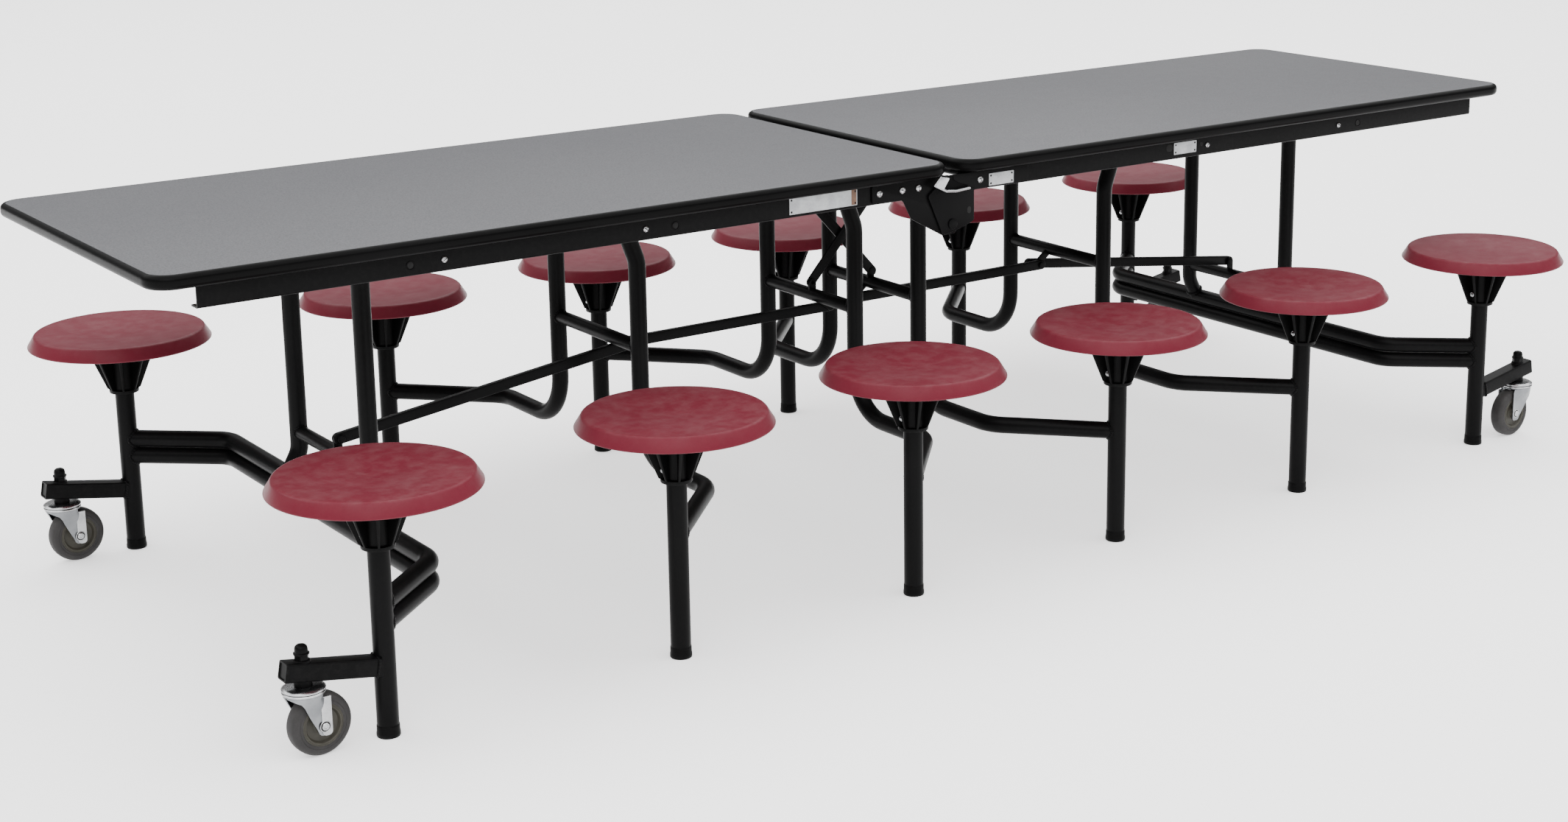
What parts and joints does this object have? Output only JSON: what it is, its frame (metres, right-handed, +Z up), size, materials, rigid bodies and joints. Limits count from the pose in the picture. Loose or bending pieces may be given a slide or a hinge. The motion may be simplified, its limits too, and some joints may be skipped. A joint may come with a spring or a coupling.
{
  "type": "mobile folding cafeteria table with stools",
  "caption": "Long split table top with attached round stools on upright tube frames; it folds upward at the centre and rolls on swivel casters.",
  "frame": {"origin": "on the floor under the middle of the unfolded top", "axes": "+X along the table, +Z up, near side is -Y"},
  "size_m": [3.073, 1.444, 0.738],
  "materials": {
    "black_paint": "satin powder coat",
    "edge_black": "satin moulded edge",
    "laminate_grey": "fine speckled grey laminate",
    "maroon_plastic": "satin moulded maroon",
    "black_plastic": "moulded black",
    "zinc": "bright zinc plate",
    "tyre_grey": "dark grey non-marking rubber",
    "core_grey": "olive grey moulded core"
  },
  "bodies": {
    "left_top": {"left_top_edge": "edge_black", "left_top_panel": "laminate_grey", "left_rails": "black_paint"},
    "left_end_stools": {"left_end_frame": "black_paint", "left_end_near_seat": "maroon_plastic", "left_end_near_hub": "black_plastic", "left_end_far_seat": "maroon_plastic", "left_end_far_hub": "black_plastic"},
    "left_mid_stools": {"left_mid_frame": "black_paint", "left_mid_near_seat": "maroon_plastic", "left_mid_near_hub": "black_plastic", "left_mid_far_seat": "maroon_plastic", "left_mid_far_hub": "black_plastic"},
    "left_inner_stools": {"left_inner_frame": "black_paint", "left_inner_near_seat": "maroon_plastic", "left_inner_near_hub": "black_plastic", "left_inner_far_seat": "maroon_plastic", "left_inner_far_hub": "black_plastic"},
    "left_outer_link": {"left_outer_link": "black_paint"},
    "left_inner_link": {"left_inner_link": "black_paint"},
    "left_cross_strap": {"left_cross_strap": "black_paint"},
    "left_near_caster": {"left_near_fork": "zinc"},
    "left_near_wheel": {"left_near_tyre": "tyre_grey", "left_near_wheel_core": "core_grey"},
    "left_far_caster": {"left_far_fork": "zinc"},
    "left_far_wheel": {"left_far_tyre": "tyre_grey", "left_far_wheel_core": "core_grey"},
    "right_top": {"right_top_edge": "edge_black", "right_top_panel": "laminate_grey", "right_rails": "black_paint"},
    "right_end_stools": {"right_end_frame": "black_paint", "right_end_near_seat": "maroon_plastic", "right_end_near_hub": "black_plastic", "right_end_far_seat": "maroon_plastic", "right_end_far_hub": "black_plastic"},
    "right_mid_stools": {"right_mid_frame": "black_paint", "right_mid_near_seat": "maroon_plastic", "right_mid_near_hub": "black_plastic", "right_mid_far_seat": "maroon_plastic", "right_mid_far_hub": "black_plastic"},
    "right_inner_stools": {"right_inner_frame": "black_paint", "right_inner_near_seat": "maroon_plastic", "right_inner_near_hub": "black_plastic", "right_inner_far_seat": "maroon_plastic", "right_inner_far_hub": "black_plastic"},
    "right_outer_link": {"right_outer_link": "black_paint"},
    "right_inner_link": {"right_inner_link": "black_paint"},
    "right_cross_strap": {"right_cross_strap": "black_paint"},
    "right_near_caster": {"right_near_fork": "zinc"},
    "right_near_wheel": {"right_near_tyre": "tyre_grey", "right_near_wheel_core": "core_grey"},
    "right_far_caster": {"right_far_fork": "zinc"},
    "right_far_wheel": {"right_far_tyre": "tyre_grey", "right_far_wheel_core": "core_grey"},
    "latch": {"latch_lever": "zinc"}
  },
  "joints": [
    {"name": "fold", "type": "hinge", "parent": "left_end_stools", "child": "left_top", "pos_m": [-1.1, 0, 0.692], "axis": [0, -1, 0], "range_deg": [0, 90]},
    {"name": "centre_hinge", "type": "hinge", "parent": "left_top", "child": "right_top", "pos_m": [0, 0, 0.618], "axis": [0, 1, 0], "range_deg": [0, 180]},
    {"name": "left_mid_pivot", "type": "hinge", "parent": "left_top", "child": "left_mid_stools", "pos_m": [-0.6, 0, 0.692], "axis": [0, 1, 0], "range_deg": [0, 90]},
    {"name": "left_inner_pivot", "type": "hinge", "parent": "left_top", "child": "left_inner_stools", "pos_m": [-0.115, 0, 0.692], "axis": [0, 1, 0], "range_deg": [0, 90]},
    {"name": "right_inner_pivot", "type": "hinge", "parent": "right_top", "child": "right_inner_stools", "pos_m": [0.115, 0, 0.692], "axis": [0, -1, 0], "range_deg": [0, 90]},
    {"name": "right_mid_pivot", "type": "hinge", "parent": "right_top", "child": "right_mid_stools", "pos_m": [0.6, 0, 0.692], "axis": [0, -1, 0], "range_deg": [0, 90]},
    {"name": "right_end_pivot", "type": "hinge", "parent": "right_top", "child": "right_end_stools", "pos_m": [1.1, 0, 0.692], "axis": [0, -1, 0], "range_deg": [0, 90]},
    {"name": "left_outer_link_pivot", "type": "hinge", "parent": "left_end_stools", "child": "left_outer_link", "pos_m": [-1.1, -0.029, 0.326], "axis": [0, -1, 0], "range_deg": [0, 76]},
    {"name": "left_inner_link_pivot", "type": "hinge", "parent": "left_mid_stools", "child": "left_inner_link", "pos_m": [-0.526, -0.011, 0.4], "axis": [0, -1, 0], "range_deg": [0, 90]},
    {"name": "left_cross_strap_pivot", "type": "hinge", "parent": "left_inner_stools", "child": "left_cross_strap", "pos_m": [-0.077, -0.003, 0.452], "axis": [0, -1, 0], "range_deg": [0, 29]},
    {"name": "right_outer_link_pivot", "type": "hinge", "parent": "right_end_stools", "child": "right_outer_link", "pos_m": [1.1, 0.029, 0.326], "axis": [0, 1, 0], "range_deg": [0, 76]},
    {"name": "right_inner_link_pivot", "type": "hinge", "parent": "right_mid_stools", "child": "right_inner_link", "pos_m": [0.526, 0.011, 0.4], "axis": [0, 1, 0], "range_deg": [0, 90]},
    {"name": "right_cross_strap_pivot", "type": "hinge", "parent": "right_inner_stools", "child": "right_cross_strap", "pos_m": [0.077, 0.003, 0.452], "axis": [0, 1, 0], "range_deg": [0, 29]},
    {"name": "left_near_swivel", "type": "hinge", "parent": "left_end_stools", "child": "left_near_caster", "pos_m": [-1.41, -0.555, 0.118], "axis": [0, 0, 1], "continuous": true},
    {"name": "left_near_wheel_spin", "type": "hinge", "parent": "left_near_caster", "child": "left_near_wheel", "pos_m": [-1.38805, -0.55347, 0.051], "axis": [-0.0698, 0.9976, 0], "continuous": true},
    {"name": "left_far_swivel", "type": "hinge", "parent": "left_end_stools", "child": "left_far_caster", "pos_m": [-1.41, 0.555, 0.118], "axis": [0, 0, 1], "continuous": true},
    {"name": "left_far_wheel_spin", "type": "hinge", "parent": "left_far_caster", "child": "left_far_wheel", "pos_m": [-1.38805, 0.55653, 0.051], "axis": [-0.0698, 0.9976, 0], "continuous": true},
    {"name": "right_near_swivel", "type": "hinge", "parent": "right_end_stools", "child": "right_near_caster", "pos_m": [1.41, -0.555, 0.118], "axis": [0, 0, 1], "continuous": true},
    {"name": "right_near_wheel_spin", "type": "hinge", "parent": "right_near_caster", "child": "right_near_wheel", "pos_m": [1.38805, -0.55653, 0.051], "axis": [-0.0698, 0.9976, 0], "continuous": true},
    {"name": "right_far_swivel", "type": "hinge", "parent": "right_end_stools", "child": "right_far_caster", "pos_m": [1.41, 0.555, 0.118], "axis": [0, 0, 1], "continuous": true},
    {"name": "right_far_wheel_spin", "type": "hinge", "parent": "right_far_caster", "child": "right_far_wheel", "pos_m": [1.38805, 0.55347, 0.051], "axis": [-0.0698, 0.9976, 0], "continuous": true},
    {"name": "latch_pull", "type": "hinge", "parent": "right_top", "child": "latch", "pos_m": [0.04, -0.3595, 0.684], "axis": [0, -1, 0], "range_deg": [0, 18], "stiffness_Nm_per_rad": 2}
  ],
  "couplings": [
    {"joint": "centre_hinge", "follows": "fold", "ratio": 2},
    {"joint": "left_mid_pivot", "follows": "fold", "ratio": 1},
    {"joint": "left_inner_pivot", "follows": "fold", "ratio": 1},
    {"joint": "right_inner_pivot", "follows": "fold", "ratio": 1},
    {"joint": "right_mid_pivot", "follows": "fold", "ratio": 1},
    {"joint": "right_end_pivot", "follows": "fold", "ratio": 1},
    {"joint": "left_outer_link_pivot", "follows": "fold", "ratio": 0.83675},
    {"joint": "left_inner_link_pivot", "follows": "fold", "ratio": 1},
    {"joint": "left_cross_strap_pivot", "follows": "fold", "ratio": 0.312},
    {"joint": "right_outer_link_pivot", "follows": "fold", "ratio": 0.83675},
    {"joint": "right_inner_link_pivot", "follows": "fold", "ratio": 1},
    {"joint": "right_cross_strap_pivot", "follows": "fold", "ratio": 0.312}
  ]
}
